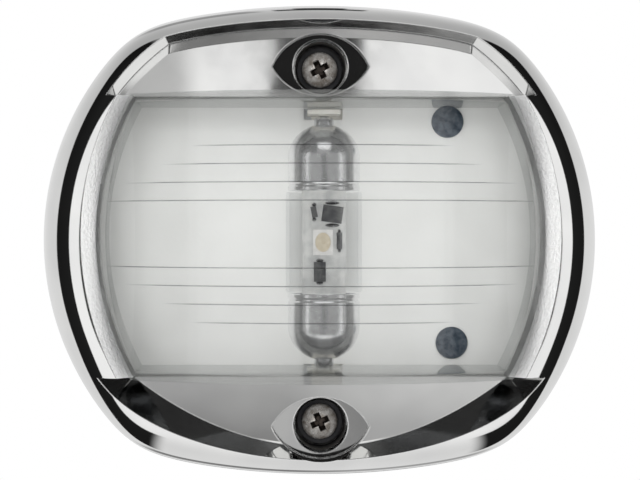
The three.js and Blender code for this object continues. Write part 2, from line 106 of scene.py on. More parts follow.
# The screws. A level of the cross slot is (depth from the front, half length, half width).
SCREW_SHANK, THREAD_PITCH, THREAD_RISE = 1.3, 0.5, 0.16
SCREW_TIP, SCREW_POINT = 0.7, (0.5, 1.8)
HEAD_HEIGHT, HEAD_SIDE, HEAD_DOME_POWER = 2.0, 0.55, 0.85
CROSS_TURN = {"upper": 28, "lower": 24}
CROSS_LEVELS = ((-1.25, 0.75, 0.28), (-0.5, 1.3, 0.42), (0.5, 1.7, 0.5))
CROSS_AREA, CROSS_DEPTH = 0.72, 0.12

# A depth in front of every piece, a margin for telling faces apart, and the sides of round shapes.
BEYOND, TOUCH = 60.0, 0.05
OUTLINE_SIDES, CAVITY_SIDES, BOSS_SIDES, SCREW_SIDES, ROUND_SIDES = 360, 180, 64, 72, 96


def node_centre(node):
    low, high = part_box(node)
    return (Vector(low) + Vector(high)) / (2 * MM)


def node_size(node):
    low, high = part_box(node)
    return (Vector(high) - Vector(low)) / MM


LENS_FRONT = -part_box("lens")[0][1] / MM
SCREW_Z = {side: node_centre(f"screw_{side}").z for side in ("upper", "lower")}
BULB = node_centre("bulb_glass")

# ---- Mesh helpers ----


def add_object(name, points, faces, materials, sharp=30):
    """A mesh object from millimetre points, with outward faces and edges sharp past an angle."""
    mesh = bpy.data.meshes.new(name)
    mesh.from_pydata([Vector(point) * MM for point in points], [], faces)
    work = bmesh.new()
    work.from_mesh(mesh)
    bmesh.ops.recalc_face_normals(work, faces=work.faces)
    work.to_mesh(mesh)
    work.free()
    for material in materials:
        mesh.materials.append(material)
    obj = bpy.data.objects.new(name, mesh)
    bpy.context.scene.collection.objects.link(obj)
    shade(obj, sharp)
    return obj


def shade(obj, sharp):
    obj.data.shade_smooth()
    obj.data.set_sharp_from_angle(angle=math.radians(sharp))


def loft(rings, closed=False):
    """Points and faces of a body that runs through rings of equal count."""
    count = len(rings[0])
    points = [point for ring in rings for point in ring]
    spans = len(rings) if closed else len(rings) - 1
    faces = []
    for span in range(spans):
        near = span * count
        far = (span + 1) % len(rings) * count
        for step in range(count):
            following = (step + 1) % count
            faces.append((near + step, near + following, far + following, far + step))
    if not closed:
        faces.append(tuple(range(count)))
        faces.append(tuple(range(len(points) - count, len(points))))
    return points, faces


def lathe(profile, count, place):
    """Rings of a turned profile of (radius, height) pairs. place() puts x, y, height in the frame."""
    rings = []
    for radius, height in profile:
        turns = [2 * math.pi * step / count for step in range(count)]
        rings.append([place(radius * math.cos(a), radius * math.sin(a), height) for a in turns])
    return rings


def about_z(centre):
    return lambda x, y, height: (centre.x + x, centre.y + y, centre.z + height)


def about_depth(x0, z0):
    return lambda x, y, height: (x0 + x, -height, z0 + y)


def prism(outline, back, front):
    """Rings of a flat XZ outline between two depths."""
    return [[(x, -depth, z) for x, z in outline] for depth in (back, front)]


def carve(body, tool, operation="DIFFERENCE"):
    """Cuts or joins a closed mesh with another one, which is used up."""
    modifier = body.modifiers.new("carve", "BOOLEAN")
    modifier.operation = operation
    modifier.solver = "MANIFOLD"
    modifier.object = tool
    graph = bpy.context.evaluated_depsgraph_get()
    carved = bpy.data.meshes.new_from_object(body.evaluated_get(graph))
    body.modifiers.clear()
    body.data = carved
    bpy.data.objects.remove(tool)


def arc_points(centre_x, centre_z, radius, start, end, count):
    angles = [start + (end - start) * step / count for step in range(count + 1)]
    return [(centre_x + radius * math.cos(a), centre_z + radius * math.sin(a)) for a in angles]


# ---- Shared outlines ----


def outline_radius(angle, inset):
    """The body's outline: a circle cut off above and below, softer and flatter toward the rim."""
    share = inset / RIM_INSET
    flat = RIM_FLAT * share
    crisp = CRISP_FOOT + (CRISP_RIM - CRISP_FOOT) * share
    rise, run = abs(math.sin(angle)), abs(math.cos(angle))
    side = math.sqrt((BODY_WIDTH / 2 - inset + flat) ** 2 - (flat * rise) ** 2) - flat * run
    cap_centre = CAP_ARC - BODY_HEIGHT / 2
    cap = math.sqrt((CAP_ARC - inset) ** 2 - (cap_centre * run) ** 2) - cap_centre * rise
    return (side ** -crisp + cap ** -crisp) ** (-1 / crisp)


def outline_ring(inset, depth, count):
    ring = []
    for step in range(count):
        angle = 2 * math.pi * step / count
        radius = outline_radius(angle, inset)
        ring.append((radius * math.cos(angle), -depth, radius * math.sin(angle)))
    return ring


def opening_half_width(z, grow):
    """Half the lens opening's width at a height, for the opening grown by a margin."""
    return OPENING_HALF_WIDTH - OPENING_ARC + math.sqrt((OPENING_ARC + grow) ** 2 - (z - OPENING_Z) ** 2)


def opening_outline(grow, count=48):
    reach = math.asin((OPENING_HALF_HEIGHT + grow) / (OPENING_ARC + grow))
    shift = OPENING_ARC - OPENING_HALF_WIDTH
    right = arc_points(-shift, OPENING_Z, OPENING_ARC + grow, -reach, reach, count)
    left = arc_points(shift, OPENING_Z, OPENING_ARC + grow, math.pi - reach, math.pi + reach, count)
    return right + left


# ---- Materials ----


def opaque(color):
    return (*color, 1)


class Nodes:
    """Short ways to add nodes to a tree."""

    def __init__(self, tree):
        self.tree = tree

    def feed(self, socket, value):
        """Sets a socket to a value, or links another socket to it."""
        if isinstance(value, bpy.types.NodeSocket):
            self.tree.links.new(value, socket)
        else:
            socket.default_value = value

    def add(self, kind, settings=None, **inputs):
        node = self.tree.nodes.new(kind)
        for setting, value in (settings or {}).items():
            setattr(node, setting, value)
        for socket, value in inputs.items():
            self.feed(node.inputs[socket.replace("_", " ")], value)
        return node

    def calc(self, operation, *values):
        node = self.add("ShaderNodeMath", {"operation": operation})
        for socket, value in zip(node.inputs, values):
            self.feed(socket, value)
        return node.outputs[0]

    def ramp(self, value, low, high, start=0.3, end=0.7, curve="LINEAR"):
        """Maps a value from start..end to low..high."""
        node = self.add("ShaderNodeMapRange", {"interpolation_type": curve}, Value=value,
                        From_Min=start, From_Max=end, To_Min=low, To_Max=high)
        return node.outputs["Result"]


class Shader(Nodes):
    """A material's nodes, with one principled surface."""

    def __init__(self, name, color, roughness, metallic=0.0):
        self.material = bpy.data.materials.new(name)
        self.material.use_nodes = True
        super().__init__(self.material.node_tree)
        self.surface = self.tree.nodes["Principled BSDF"]
        self.surface.inputs["Base Color"].default_value = opaque(color)
        self.surface.inputs["Roughness"].default_value = roughness
        self.surface.inputs["Metallic"].default_value = metallic

    def show(self, surface):
        """Puts another surface in the place of the principled one."""
        self.tree.nodes.remove(self.surface)
        self.feed(self.tree.nodes["Material Output"].inputs["Surface"], surface)

    def noise(self, size_mm, detail=3.0):
        """Noise whose features are about size_mm across."""
        place = self.add("ShaderNodeTexCoord").outputs["Object"]
        noise = self.add("ShaderNodeTexNoise", Vector=place, Scale=1 / (size_mm * MM), Detail=detail)
        return noise.outputs["Fac"]

    def mix_color(self, factor, first, second):
        """A colour between two, each given as a colour or as a socket."""
        mix = self.add("ShaderNodeMix", {"data_type": "RGBA"})
        first_input, second_input = mix.inputs[6], mix.inputs[7]
        self.feed(mix.inputs[0], factor)
        self.feed(first_input, first)
        self.feed(second_input, second)
        return mix.outputs[2]

    def mix_surface(self, factor, first, second):
        mix = self.add("ShaderNodeMixShader", Fac=factor)
        self.feed(mix.inputs[1], first.outputs["BSDF"])
        self.feed(mix.inputs[2], second.outputs["BSDF"])
        return mix.outputs["Shader"]

    def vary_color(self, value, first, second, start=0.35, end=0.65):
        share = self.ramp(value, 0.0, 1.0, start, end)
        self.feed(self.surface.inputs["Base Color"], self.mix_color(share, opaque(first), opaque(second)))

    def vary_roughness(self, value, low, high):
        self.feed(self.surface.inputs["Roughness"], self.ramp(value, low, high))

    def bump(self, value, depth_mm, strength=1.0, edge_mm=0.0):
        """Raises the surface by a value, over edges that look rounded by edge_mm."""
        node = self.add("ShaderNodeBump", Height=value, Distance=depth_mm * MM, Strength=strength)
        if edge_mm:
            bevel = self.add("ShaderNodeBevel", {"samples": 6}, Radius=edge_mm * MM)
            self.feed(node.inputs["Normal"], bevel.outputs["Normal"])
        self.feed(self.surface.inputs["Normal"], node.outputs["Normal"])


def mirror_steel():
    shader = Shader("mirror_steel", (0.83, 0.83, 0.82), 0.04, 1.0)
    shader.vary_roughness(shader.noise(5, 4), 0.025, 0.075)
    shader.vary_color(shader.noise(9, 2), (0.86, 0.86, 0.85), (0.79, 0.79, 0.785))
    shader.bump(shader.noise(14, 1.5), 0.12, 0.25, edge_mm=0.22)
    return shader.material


def cast_bevel():
    shader = Shader("cast_bevel", (0.97, 0.97, 0.965), 0.55, 0.0)
    grain = shader.noise(0.45, 4)
    shader.vary_color(grain, (1.0, 1.0, 0.995), (0.86, 0.86, 0.85), 0.45, 0.85)
    shader.bump(grain, 0.22, 0.7, edge_mm=0.1)
    return shader.material


# Painted shade: near-black steel stands in for the shade down the deep screw bores.
def bore_shaded_steel():
    shader = Shader("bore_shaded_steel", (0.05, 0.05, 0.05), 0.45, 0.8)
    shader.vary_color(shader.noise(0.8), (0.03, 0.03, 0.03), (0.09, 0.088, 0.085))
    shader.bump(shader.noise(0.3), 0.04, 0.5)
    return shader.material


def inner_casting():
    shader = Shader("inner_casting", (0.7, 0.7, 0.69), 0.6, 0.3)
    grain = shader.noise(0.7, 4)
    shader.vary_color(grain, (0.74, 0.74, 0.73), (0.6, 0.6, 0.59))
    shader.bump(grain, 0.12, 0.6)
    return shader.material


def screw_steel():
    shader = Shader("screw_steel", (0.8, 0.77, 0.73), 0.3, 0.55)
    grain = shader.noise(0.9, 5)
    shader.vary_color(grain, (0.95, 0.92, 0.88), (0.42, 0.375, 0.33))
    shader.vary_roughness(shader.noise(0.5), 0.12, 0.34)
    shader.bump(shader.noise(0.6, 5), 0.09, 0.8, edge_mm=0.1)
    return shader.material


# Painted shade: near-black steel stands in for the shade inside a screw's cross slot.
def recess_steel():
    shader = Shader("recess_steel", (0.09, 0.075, 0.065), 0.5, 0.9)
    shader.vary_color(shader.noise(0.4), (0.13, 0.105, 0.09), (0.045, 0.038, 0.034))
    shader.bump(shader.noise(0.2), 0.03, 0.6)
    return shader.material


def clear(name, tint, roughness, edge_tint, outside=None, edge_gloss=0.6):
    """Clear plastic or glass: a see-through film with a gloss that grows at a glancing angle.

    A tint for the outside darkens the faces that are met from outside the solid: painted shade, which on
    the lens's walls stands in for the shade in the seam round the lens.
    """
    face_on_gloss, falloff = 0.035, 5.0
    shader = Shader(name, tint, roughness)
    facing = shader.add("ShaderNodeLayerWeight", Blend=0.5).outputs["Facing"]
    film_color = shader.mix_color(shader.ramp(facing, 0.0, 1.0, 0.5, 1.0), opaque(tint), opaque(edge_tint))
    # The outside tint is painted shade, seen only on faces met from outside.
    if outside:
        inward = shader.add("ShaderNodeNewGeometry").outputs["Backfacing"]
        film_color = shader.mix_color(inward, opaque(outside), film_color)
    film = shader.add("ShaderNodeBsdfTransparent", Color=film_color)
    haze = shader.ramp(shader.noise(6, 4), roughness * 0.6, roughness * 1.6)
    gloss = shader.add("ShaderNodeBsdfGlossy", Roughness=haze)
    glance = shader.calc("POWER", facing, falloff)
    shader.show(shader.mix_surface(shader.ramp(glance, face_on_gloss, edge_gloss, 0.0, 1.0), film, gloss))
    return shader.material


def fresnel_line_painted_shade():
    """The edge of a lens step, in painted shade: dark where the line attribute is 1, clear where it is 0,
    in place of the light that the step bends aside.
    """
    film_color, step_shade_color = (0.96, 0.965, 0.965), (0.22, 0.225, 0.23)
    shader = Shader("fresnel_line_painted_shade", (0.1, 0.1, 0.11), 0.3)
    line = shader.add("ShaderNodeAttribute", {"attribute_name": "line"}).outputs["Fac"]
    patchy = shader.ramp(shader.noise(4, 2), 0.75, 1.0)
    film = shader.add("ShaderNodeBsdfTransparent", Color=opaque(film_color))
    dark = shader.add("ShaderNodeBsdfTransparent", Color=opaque(step_shade_color))
    shader.show(shader.mix_surface(shader.calc("MULTIPLY", line, patchy), film, dark))
    return shader.material


def plain(name, first, second, roughness, metallic=0.0, grain_mm=0.5, depth_mm=0.03, blotch_mm=3.0):
    """A solid finish: colour that drifts between two tones, uneven gloss and a fine grain."""
    shader = Shader(name, first, roughness, metallic)
    shader.vary_color(shader.noise(blotch_mm, 4), first, second)
    shader.vary_roughness(shader.noise(blotch_mm / 2, 3), roughness * 0.8, roughness * 1.25)
    shader.bump(shader.noise(grain_mm, 4), depth_mm, 0.6)
    return shader.material


LENS_TINT = (0.985, 0.988, 0.985)

MATERIALS = {
    "stainless": mirror_steel(),
    "bevel": cast_bevel(),
    # The bore finish is painted shade: near-black steel down the screw holes.
    "bore": bore_shaded_steel(),
    "inner": inner_casting(),
    "screw": screw_steel(),
    # The screw's cross slot finish is painted shade.
    "recess": recess_steel(),
    "lens": clear("clear_plastic", LENS_TINT, 0.03, (0.86, 0.87, 0.87)),
    # The lens step lines are painted shade: a dark film where the steps bend light aside.
    "line": fresnel_line_painted_shade(),
    # The edge's near-black outside tint is painted shade in the seam round the lens.
    "edge": clear("clear_plastic_shaded_edge", LENS_TINT, 0.05, (0.95, 0.955, 0.955), (0.06, 0.062, 0.065)),
    "glass": clear("bulb_glass_clear", (0.993, 0.995, 0.995), 0.02, (0.96, 0.965, 0.97), edge_gloss=0.15),
    "rubber": plain("rubber", (0.022, 0.022, 0.024), (0.04, 0.04, 0.042), 0.62, 0, 0.25, 0.03),
    "base": plain("base_plastic", (0.6, 0.61, 0.62), (0.54, 0.55, 0.56), 0.45, 0, 0.3, 0.02, 6),
    "liner": plain("liner_plastic", (0.72, 0.72, 0.71), (0.68, 0.68, 0.67), 0.5, 0, 0.6, 0.02, 9),
    "brass": plain("contact_brass", (0.86, 0.845, 0.8), (0.78, 0.76, 0.7), 0.45, 0.35, 0.4, 0.02, 2),
    "rivet": plain("rivet_metal", (0.055, 0.075, 0.1), (0.16, 0.19, 0.23), 0.5, 0.55, 0.35, 0.08, 0.7),
    "nickel": plain("cap_nickel", (0.93, 0.93, 0.94), (0.82, 0.82, 0.83), 0.2, 0.85, 0.35, 0.03, 0.9),
    "board": plain("board_white", (0.55, 0.55, 0.54), (0.42, 0.42, 0.42), 0.4, 0, 0.3, 0.01, 1.5),
    "led": plain("led_case", (0.66, 0.65, 0.64), (0.58, 0.57, 0.56), 0.35, 0, 0.3, 0.01, 1),
    "phosphor": plain("led_phosphor", (0.55, 0.49, 0.39), (0.48, 0.42, 0.33), 0.4, 0, 0.15, 0.01, 0.6),
    "component": plain("component_black", (0.05, 0.05, 0.055), (0.1, 0.1, 0.1), 0.35, 0, 0.2, 0.01, 0.8),
    "solder": plain("solder", (0.62, 0.62, 0.63), (0.45, 0.45, 0.46), 0.22, 1, 0.3, 0.05, 0.6),
}

# ---- Housing ----


def shell_profile():
    """Inset and depth up the outside: rounded foot, drafted wall, then an arc that turns to the rim."""
    foot_steps, wall_steps, arc_steps = 4, 10, 28
    rows = []
    for step in range(foot_steps + 1):
        angle = math.pi / 2 * step / foot_steps
        rows.append((FOOT_ROUND * (1 - math.sin(angle)), FOOT + FOOT_ROUND * (1 - math.cos(angle))))
    for step in range(1, wall_steps + 1):
        depth = FOOT + FOOT_ROUND + (SHOULDER - FOOT - FOOT_ROUND) * step / wall_steps
        rows.append((SHOULDER_INSET * ((depth - FOOT) / (SHOULDER - FOOT)) ** WALL_CURVE, depth))
    start = math.asin(SHOULDER_SINE)
    width = (RIM_INSET - SHOULDER_INSET) / math.cos(start)
    height = (RIM - SHOULDER) / (1 - math.sin(start))
    for step in range(1, arc_steps + 1):
        angle = start + (math.pi / 2 - start) * step / arc_steps
        inset = SHOULDER_INSET + width * (math.cos(start) - math.cos(angle))
        rows.append((inset, SHOULDER + height * (math.sin(angle) - math.sin(start))))
    return rows


def ledge_space(side, depth):
    """Everything in front of a ledge's floor, which leans outward, and beyond the lens opening."""
    wide, tall = 2 * BODY_WIDTH, 2 * BODY_HEIGHT
    outline = [(-wide, -tall), (wide, -tall), (wide, tall), (-wide, tall)]
    space = add_object("space", *loft(prism(outline, 0, BODY_WIDTH)), [])
    turn = Matrix.Rotation(math.radians(-side * LEDGE_TILT), 4, "X")
    space.data.transform(Matrix.Translation(Vector((0, -depth, side * LEDGE_Z)) * MM) @ turn)
    edge = OPENING_Z + side * OPENING_HALF_HEIGHT
    limit = [(x, edge if z * side > 0 else z * 2) for x, z in outline]
    carve(space, add_object("limit", *loft(prism(limit, -BODY_WIDTH, 2 * BODY_WIDTH)), []))
    return space


def upper_ledge():
    """The ledge above the lens, whose steep wall follows the body's outline within a flared round."""
    back, front = UPPER_DEPTH - WALL, UPPER_DEPTH + LEDGE_HEIGHT
    slope = math.tan(math.radians(UPPER_DRAFT))
    rings = [outline_ring(UPPER_INSET - (depth - UPPER_DEPTH) * slope, depth, OUTLINE_SIDES)
             for depth in (back, front)]
    pocket = add_object("upper_pocket", *loft(rings), [])
    flare = [(UPPER_RADIUS, back), (UPPER_RADIUS + LEDGE_HEIGHT * slope, back + LEDGE_HEIGHT)]
    flared_round = loft(lathe(flare, OUTLINE_SIDES, about_depth(0, 0)))
    carve(pocket, add_object("pocket", *flared_round, []), "INTERSECT")
    carve(pocket, ledge_space(1, UPPER_DEPTH), "INTERSECT")
    return pocket


def lower_ledge():
    """The ledge below the lens, whose wall runs from a wide arc at its foot to a flatter one at its lip."""
    rings = []
    for depth in (LOWER_DEPTH - WALL, LOWER_DEPTH + LEDGE_HEIGHT):
        share = (depth - LOWER_FOOT[0]) / (LOWER_LIP[0] - LOWER_FOOT[0])
        radius, end = (foot + (lip - foot) * share for foot, lip in zip(LOWER_FOOT[1:], LOWER_LIP[1:]))
        rings += lathe([(radius, depth)], OUTLINE_SIDES, about_depth(0, radius - end))
    pocket = add_object("lower_pocket", *loft(rings), [])
    carve(pocket, ledge_space(-1, LOWER_DEPTH), "INTERSECT")
    return pocket


def eye_outline(z):
    outward = math.copysign(1, z)
    up = outward * math.pi / 2
    points = []
    for sagitta, turn, sign in ((EYE_OUTER, up, 1), (EYE_INNER, -up, -1)):
        radius = (EYE_HALF_WIDTH ** 2 + sagitta ** 2) / (2 * sagitta)
        reach = math.asin(EYE_HALF_WIDTH / radius)
        centre_z = z + outward * sign * (sagitta - radius)
        points += arc_points(0, centre_z, radius, turn - reach, turn + reach, 40)[:-1]
    return points


HOUSING_FINISHES = ("stainless", "bevel", "bore", "inner")


def housing_finish(face):
    """Which of the housing's finishes a face takes, from where it lies."""
    centre, depth = face.center / MM, -face.center.y / MM
    flat_front = 0.9
    for z in SCREW_Z.values():
        if math.hypot(centre.x, centre.z - z) < BORE_RADIUS + 0.02 and depth < EYE_DEPTH - BORE_CHAMFER:
            # Faces down the bore take its painted shade.
            return "bore"
    edge = outline_radius(math.atan2(centre.z, centre.x), 0) - math.hypot(centre.x, centre.z)
    if depth < SHELF + TOUCH and edge > WALL - 0.3:
        return "inner"
    away = abs(centre.z - OPENING_Z)
    if away < OPENING_HALF_HEIGHT + TOUCH and abs(centre.x) < opening_half_width(centre.z, TOUCH):
        return "bevel"
    if away < OPENING_HALF_HEIGHT + BEVEL and depth > SEAM - TOUCH and abs(face.normal.y) < flat_front:
        if abs(centre.x) < opening_half_width(centre.z, 0) + BEVEL + TOUCH:
            return "bevel"
    return "stainless"


def cut_screw_pocket(body, z):
    """The eye-shaped flat round a screw, its chamfered bore and the hole for its shank."""
    carve(body, add_object("tool", *loft(prism(eye_outline(z), EYE_DEPTH, BEYOND)), []))
    flare = BORE_CHAMFER + 0.1
    chamfer = [(BORE_RADIUS, EYE_DEPTH - BORE_CHAMFER), (BORE_RADIUS + flare, EYE_DEPTH + 0.1)]
    bore = [(BORE_RADIUS, BORE_FLOOR), (BORE_RADIUS, BEYOND)]
    shank_hole = [(CLEARANCE, CLEARANCE_START), (CLEARANCE, BEYOND)]
    for profile in (chamfer, bore, shank_hole):
        carve(body, add_object("tool", *loft(lathe(profile, ROUND_SIDES, about_depth(0, z))), []))


def build_housing():
    rings = [outline_ring(inset, depth, OUTLINE_SIDES) for inset, depth in shell_profile()]
    finishes = [MATERIALS[name] for name in HOUSING_FINISHES]
    body = add_object("polished_housing", *loft(rings), finishes)
    cavity = [outline_ring(inset, depth, CAVITY_SIDES)
              for inset, depth in ((WALL, CAVITY_START), (WALL + CAVITY_TAPER, SHELF))]
    carve(body, add_object("tool", *loft(cavity), []))
    for ledge in (upper_ledge(), lower_ledge()):
        carve(body, ledge)
    for z in SCREW_Z.values():
        boss = [(BOSS_RADIUS, BOSS_BACK), (BOSS_RADIUS, SHELF + BOSS_OVERLAP)]
        carve(body, add_object("tool", *loft(lathe(boss, BOSS_SIDES, about_depth(0, z))), []), "UNION")
    carve(body, add_object("tool", *loft(prism(opening_outline(0), 0, BEYOND)), []))
    climb = (RIM - SEAM) / BEVEL
    bevel = [[(x, -depth, z) for x, z in opening_outline(grow)]
             for grow, depth in ((0, SEAM), (BEVEL + 1, RIM + climb))]
    carve(body, add_object("tool", *loft(bevel), []))
    for z in SCREW_Z.values():
        cut_screw_pocket(body, z)
    for face in body.data.polygons:
        face.material_index = HOUSING_FINISHES.index(housing_finish(face))
    shade(body, 22)
    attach(body, "cover")
    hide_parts("housing")


# ---- Lens ----


def lens_rows(half_height):
    """Heights of the pane's rows: even, with extra rows at each lens step and at the two ends."""
    grooves = [FRESNEL_Z + side * (FRESNEL_HALF + FRESNEL_PITCH * zone)
               for side in (-1, 1) for zone in range(len(FRESNEL_REACH))]
    rows = [OPENING_Z + half_height * (2 * step / LENS_ROWS - 1) for step in range(LENS_ROWS + 1)]
    kept = [row for row in rows if min(abs(row - groove) for groove in grooves) > 3 * GROOVE_HALF]
    fine = [groove + GROOVE_HALF * offset for groove in grooves for offset in (-2, -1, 0, 1, 2)]
    ends = [OPENING_Z + side * (half_height - gap) for side in (-1, 1) for gap in (0.06, 0.2, 0.45)]
    return sorted(kept + fine + ends)


def zone_reach(z, margin):
    """How far sideways the lens step at a height reaches, or 0 where no step is within the margin."""
    away = abs(z - FRESNEL_Z)
    for zone, reach in enumerate(FRESNEL_REACH):
        if abs(away - FRESNEL_HALF - FRESNEL_PITCH * zone) < margin:
            return reach
    return 0.0


def groove_share(x, z):
    """How far a point lies in a lens step: 1 on its line, fading out to the line's two ends."""
    return max(0.0, min(1.0, (zone_reach(z, GROOVE_HALF * 0.5) - abs(x)) / GROOVE_FADE))


def pane_grid(rows, half_height, arc, grow, rounding=0.0, grooves=False):
    """One face of the pane: rows of points on an upright drum, as wide as the opening lets them be."""
    axis = LENS_FRONT - LENS_ARC
    grid = []
    for z in rows:
        near_end = max(0.0, abs(z - OPENING_Z) - (half_height - rounding)) if rounding else 0.0
        drop = rounding - math.sqrt(max(0.0, rounding ** 2 - near_end ** 2))
        reach = math.asin(min(1.0, opening_half_width(z, grow) / arc))
        line = []
        for column in range(LENS_COLUMNS + 1):
            angle = reach * (2 * column / LENS_COLUMNS - 1)
            x = arc * math.sin(angle)
            radius = arc - drop
            if grooves:
                radius += GROOVE_DEEP * groove_share(x, z)
            line.append((x, -(axis + radius * math.cos(angle)), z))
        grid.append(line)
    return grid


def grid_faces(start, rows, columns):
    """Faces of a grid of points whose indices begin at start."""
    corners = [start + row * columns + column for row in range(rows - 1) for column in range(columns - 1)]
    return [(corner, corner + 1, corner + columns + 1, corner + columns) for corner in corners]


def grid_border(start, rows, columns):
    """The indices round a grid's border, in order."""
    last_row = start + (rows - 1) * columns
    bottom = list(range(start, start + columns))
    right = [start + row * columns + columns - 1 for row in range(1, rows - 1)]
    top = list(range(last_row + columns - 1, last_row - 1, -1))
    left = [start + row * columns for row in range(rows - 2, 0, -1)]
    return bottom + right + top + left


def edge_shift(x, z, half_height, grow):
    """Moves a border point of the pane outward: up or down on the ends, sideways on the sides."""
    at_end = abs(abs(z - OPENING_Z) - half_height) < 1e-6
    at_side = abs(abs(x) - opening_half_width(z, -LENS_GAP)) < 1e-3
    shift_z = math.copysign(grow, z - OPENING_Z) if at_end else 0.0
    shift_x = math.copysign(grow, x) if at_side else 0.0
    return shift_x, shift_z


def lens_mesh():
    """Points and faces of the lens, and where the inner pane's points begin and end."""
    outer_half = OPENING_HALF_HEIGHT - LENS_GAP
    inner_half = outer_half - LENS_WALL
    outer_rows = lens_rows(outer_half)
    inner_rows = sorted(z if zone_reach(z, 2.5 * GROOVE_HALF) else
                        OPENING_Z + (z - OPENING_Z) * inner_half / outer_half for z in outer_rows)
    outer = pane_grid(outer_rows, outer_half, LENS_ARC, -LENS_GAP, rounding=LENS_ROUND)
    inner = pane_grid(inner_rows, inner_half, LENS_ARC - LENS_PANE, -LENS_GAP - LENS_WALL, grooves=True)
    points = [point for grid in (outer, inner) for line in grid for point in line]
    rows, columns = len(outer_rows), LENS_COLUMNS + 1
    inner_start, inner_end = rows * columns, len(points)
    faces = grid_faces(0, rows, columns) + grid_faces(inner_start, rows, columns)

    outer_edge = grid_border(0, rows, columns)
    inner_edge = grid_border(inner_start, rows, columns)
    flange_front, flange = LENS_BACK + LENS_FLANGE, FLANGE_GROW + LENS_GAP
    rings = [outer_edge]
    for grow, depth in ((0.0, flange_front), (flange, flange_front), (flange, LENS_BACK)):
        rings.append(list(range(len(points), len(points) + len(outer_edge))))
        for index in outer_edge:
            x, _, z = points[index]
            shift_x, shift_z = edge_shift(x, z, outer_half, grow)
            points.append((x + shift_x, -depth, z + shift_z))
    rings.append(list(range(len(points), len(points) + len(inner_edge))))
    points += [(points[index][0], -LENS_BACK, points[index][2]) for index in inner_edge]
    rings.append(inner_edge)
    for near, far in zip(rings, rings[1:]):
        for step in range(len(near)):
            following = (step + 1) % len(near)
            faces.append((near[step], near[following], far[following], far[step]))
    return points, faces, inner_start, inner_end


# The line and edge finishes carry painted shade: dark step lines, and lens walls that are dark from
# outside.
LENS_FINISHES = ("lens", "line", "edge")


def build_lens():
    points, faces, inner_start, inner_end = lens_mesh()
    body = add_object("clear_lens", points, faces, [MATERIALS[name] for name in LENS_FINISHES], 35)
    # The line attribute masks the painted shade along the lens steps.
    line = body.data.attributes.new("line", "FLOAT", "POINT").data
    for index in range(inner_start, inner_end):
        line[index].value = groove_share(points[index][0], points[index][2])
    for face in body.data.polygons:
        corners = list(face.vertices)
        # Walls take the edge finish with its painted shade outside; step faces take the painted step lines.
        if max(corners) >= inner_end and min(corners) < inner_start:
            face.material_index = LENS_FINISHES.index("edge")
        elif min(corners) >= inner_start and max(line[index].value for index in corners) > 0:
            face.material_index = LENS_FINISHES.index("line")
    radius = BOSS_RADIUS + NOTCH_GAP
    for z in SCREW_Z.values():
        notch = lathe([(radius, LENS_BACK - 1), (radius, SHELF + 0.1)], BOSS_SIDES, about_depth(0, z))
        carve(body, add_object("notch", *loft(notch), []))
    shade(body, 35)
    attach(body, "cover")
    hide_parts("lens")


# ---- Screws, rivets and bulb ----


def screw_profile(point, seat, front, head):
    """Radius and depth of a screw: point, threads, shank, then the edge and dome of the head."""
    thread_start = point + SCREW_POINT[1]
    profile = [(0.01, point), (SCREW_TIP, point + SCREW_POINT[0]), (SCREW_SHANK, thread_start)]
    turns = math.ceil((seat - 1.0 - thread_start) / THREAD_PITCH)
    for turn in range(turns):
        foot = thread_start + turn * THREAD_PITCH
        crest = (SCREW_SHANK + THREAD_RISE, foot + 0.25)
        profile += [(SCREW_SHANK, foot + 0.1), crest, (SCREW_SHANK, foot + 0.4)]
    profile += [(SCREW_SHANK, seat), (head - 0.15, seat), (head, seat + 0.12), (head, seat + HEAD_SIDE)]
    dome_steps = 12
    for step in range(1, dome_steps + 1):
        angle = math.pi / 2 * step / dome_steps
        rise = front - seat - HEAD_SIDE
        radius = max(0.01, head * math.cos(angle) ** HEAD_DOME_POWER)
        profile.append((radius, seat + HEAD_SIDE + rise * math.sin(angle)))
    return profile


def build_screw(side):
    node = f"screw_{side}"
    low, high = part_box(node)
    point, front = -high[1] / MM, -low[1] / MM
    head = node_size(node).x / 2
    z, seat = SCREW_Z[side], front - HEAD_HEIGHT
    rings = lathe(screw_profile(point, seat, front, head), SCREW_SIDES, about_depth(0, z))
    body = add_object(f"cover_{node}", *loft(rings), [MATERIALS["screw"], MATERIALS["recess"]])
    for quarter in (0, 90):
        carve(body, cross_arm(front, z, math.radians(CROSS_TURN[side] + quarter)))
    for face in body.data.polygons:
        depth = -face.center.y / MM
        away = math.hypot(face.center.x / MM, face.center.z / MM - z)
        dome = seat + HEAD_SIDE + (front - seat - HEAD_SIDE) * math.sqrt(max(0.0, 1 - (away / head) ** 2))
        # Faces inside the cross slot take the painted shade of the slot finish.
        if away < head * CROSS_AREA and seat < depth < dome - CROSS_DEPTH:
            face.material_index = 1
    shade(body, 30)
    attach(body, f"{side}_screw")
    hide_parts(node)


def cross_arm(front, z, angle):
    """One tapered arm of the cross slot."""
    cosine, sine = math.cos(angle), math.sin(angle)
    rings = []
    for level, length, width in CROSS_LEVELS:
        corners = [(-length, -width), (length, -width), (length, width), (-length, width)]
        turned = [(u * cosine - v * sine, z + u * sine + v * cosine) for u, v in corners]
        rings.append([(x, -(front + level), height) for x, height in turned])
    return add_object("arm", *loft(rings), [])


